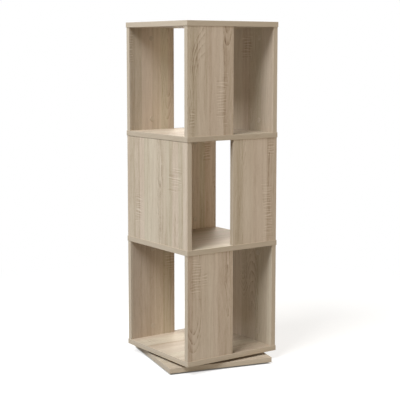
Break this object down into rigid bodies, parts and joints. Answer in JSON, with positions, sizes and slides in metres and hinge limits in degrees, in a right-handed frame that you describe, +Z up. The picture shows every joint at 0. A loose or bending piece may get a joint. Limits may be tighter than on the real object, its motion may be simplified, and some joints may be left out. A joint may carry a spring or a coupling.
{
  "type": "rotary filing cabinet",
  "caption": "Revolving filing tower of oak-decor board: open binder bays stacked between square shelves, turning on a ball bearing over a square base board.",
  "frame": {"origin": "on the floor, under the axis that the tower turns on", "axes": "+Z up along that axis; -Y is the front, where the upper and lower storeys are open on the right; the lower and upper wide uprights are on +X, the middle one on -X"},
  "size_m": [0.417, 0.417, 1.08],
  "materials": {
    "oak_decor_board": "melamine with rough-sawn oak print, satin",
    "oak_decor_edging": "thin printed edge banding, satin",
    "beech_dowel": "raw",
    "zinc_cam": "die-cast, matt",
    "cam_bolt_steel": "zinc-plated",
    "cap_plastic": "moulded, matt",
    "glide_plastic": "moulded, matt",
    "fastener_steel": "zinc-plated",
    "galvanised_race": "galvanised sheet",
    "ball_steel": "polished",
    "cage_plastic": "moulded, matt"
  },
  "bodies": {
    "base": {"base_board": "oak_decor_board", "base_board_edging": "oak_decor_edging", "glide_front_left": "glide_plastic", "glide_front_right": "glide_plastic", "glide_rear_left": "glide_plastic", "glide_rear_right": "glide_plastic", "glide_nails": "fastener_steel", "bearing_lower_race": "galvanised_race", "bearing_lower_screws": "fastener_steel"},
    "ball_cage": {"bearing_ball_cage": "cage_plastic", "bearing_balls": "ball_steel"},
    "tower": {"bearing_upper_race": "galvanised_race", "bearing_upper_screws": "fastener_steel", "bottom_board": "oak_decor_board", "bottom_board_cam_bolts": "cam_bolt_steel", "bottom_board_dowels": "beech_dowel", "bottom_board_edging": "oak_decor_edging", "lower_front_panel": "oak_decor_board", "lower_front_panel_edging": "oak_decor_edging", "lower_rear_panel": "oak_decor_board", "lower_rear_panel_edging": "oak_decor_edging", "lower_shelf": "oak_decor_board", "lower_shelf_cam_bolts": "cam_bolt_steel", "lower_shelf_dowels": "beech_dowel", "lower_shelf_edging": "oak_decor_edging", "lower_side_panel": "oak_decor_board", "lower_side_panel_edging": "oak_decor_edging", "lower_tier_cam_caps": "cap_plastic", "lower_tier_cams": "zinc_cam", "middle_front_panel": "oak_decor_board", "middle_front_panel_edging": "oak_decor_edging", "middle_rear_panel": "oak_decor_board", "middle_rear_panel_edging": "oak_decor_edging", "middle_side_panel": "oak_decor_board", "middle_side_panel_edging": "oak_decor_edging", "middle_tier_cam_caps": "cap_plastic", "middle_tier_cams": "zinc_cam", "top_board": "oak_decor_board", "top_board_cam_bolts": "cam_bolt_steel", "top_board_dowels": "beech_dowel", "top_board_edging": "oak_decor_edging", "upper_front_panel": "oak_decor_board", "upper_front_panel_edging": "oak_decor_edging", "upper_rear_panel": "oak_decor_board", "upper_rear_panel_edging": "oak_decor_edging", "upper_shelf": "oak_decor_board", "upper_shelf_cam_bolts": "cam_bolt_steel", "upper_shelf_dowels": "beech_dowel", "upper_shelf_edging": "oak_decor_edging", "upper_side_panel": "oak_decor_board", "upper_side_panel_edging": "oak_decor_edging", "upper_tier_cam_caps": "cap_plastic", "upper_tier_cams": "zinc_cam"}
  },
  "joints": [
    {"name": "tower_spin", "type": "hinge", "parent": "base", "child": "tower", "pos_m": [0, 0, 0.025], "axis": [0, 0, 1], "continuous": true},
    {"name": "cage_spin", "type": "hinge", "parent": "base", "child": "ball_cage", "pos_m": [0, 0, 0.025], "axis": [0, 0, 1], "continuous": true}
  ],
  "couplings": [
    {"joint": "cage_spin", "follows": "tower_spin", "ratio": 0.5}
  ]
}
